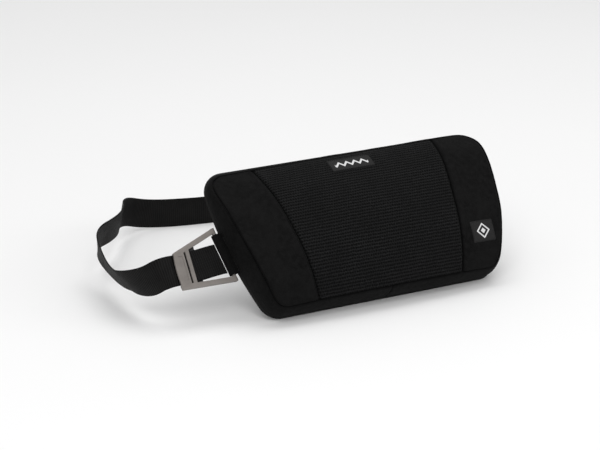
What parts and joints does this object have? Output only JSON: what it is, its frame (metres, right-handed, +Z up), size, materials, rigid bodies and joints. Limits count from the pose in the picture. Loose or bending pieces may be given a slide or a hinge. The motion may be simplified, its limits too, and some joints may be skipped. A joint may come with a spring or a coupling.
{
  "type": "lumbar support cushion with chair strap",
  "caption": "Wedge-shaped lumbar support cushion with a mesh centre, a boxed side, a back zip and a webbing chair strap held by a tapered ring.",
  "frame": {"origin": "on the floor, in the middle of the footprint of everything but the strap", "axes": "+Z up, +X to the cushion's own right-hand side in the view from its front, -Y the way the front faces as it leans back"},
  "size_m": [0.4131, 0.3315, 0.1348],
  "materials": {
    "mesh": "black spacer mesh, fine crosswise rows",
    "suede": "matte black brushed fabric",
    "boxing": "matte black woven strip",
    "back": "matte black woven back",
    "binding": "black folded binding tape",
    "foam": "moulded open-cell foam",
    "label": "dark grey woven label",
    "webbing": "black ribbed webbing",
    "ring": "satin warm grey moulded plastic",
    "lock": "black moulded plastic",
    "tape": "black woven zip tape",
    "coil": "black nylon coil",
    "zip_metal": "black enamelled zinc"
  },
  "bodies": {
    "root": {"foam_core": "foam", "centre_mesh_panel": "mesh", "left_side_panel": "suede", "right_side_panel": "suede", "left_boxing_strip": "boxing", "right_boxing_strip": "boxing", "upper_back_panel": "back", "lower_back_panel": "back", "back_edge_binding": "binding", "upper_zip_tape": "tape", "lower_zip_tape": "tape", "upper_zip_coil": "coil", "lower_zip_coil": "coil", "zip_end_stops": "zip_metal", "top_label": "label", "side_label": "label", "left_ring_sleeve": "suede", "left_strap_lead": "webbing", "strap_loop": "webbing", "strap_anchor": "webbing"},
    "left_ring": {"left_ring": "ring", "left_lock_bar": "lock", "left_strap_tail": "webbing"},
    "zip_slider": {"zip_slider": "zip_metal"},
    "zip_pull": {"zip_pull": "zip_metal"}
  },
  "joints": [
    {"name": "left_ring_swing", "type": "hinge", "parent": "root", "child": "left_ring", "pos_m": [-0.13398, 0.00381, 0.06351], "axis": [-0.1771, 0.6019, 0.7787], "range_deg": [-60, 30], "deforming": ["left_strap_lead"]},
    {"name": "zip_travel", "type": "slide", "parent": "root", "child": "zip_slider", "axis": [-1, 0, 0], "range_m": [0, 0.203]},
    {"name": "zip_pull_swing", "type": "hinge", "parent": "zip_slider", "child": "zip_pull", "pos_m": [0.12879, -0.0114, 0.02976], "axis": [0, 0.6115, 0.7912], "range_deg": [-80, 80]}
  ]
}
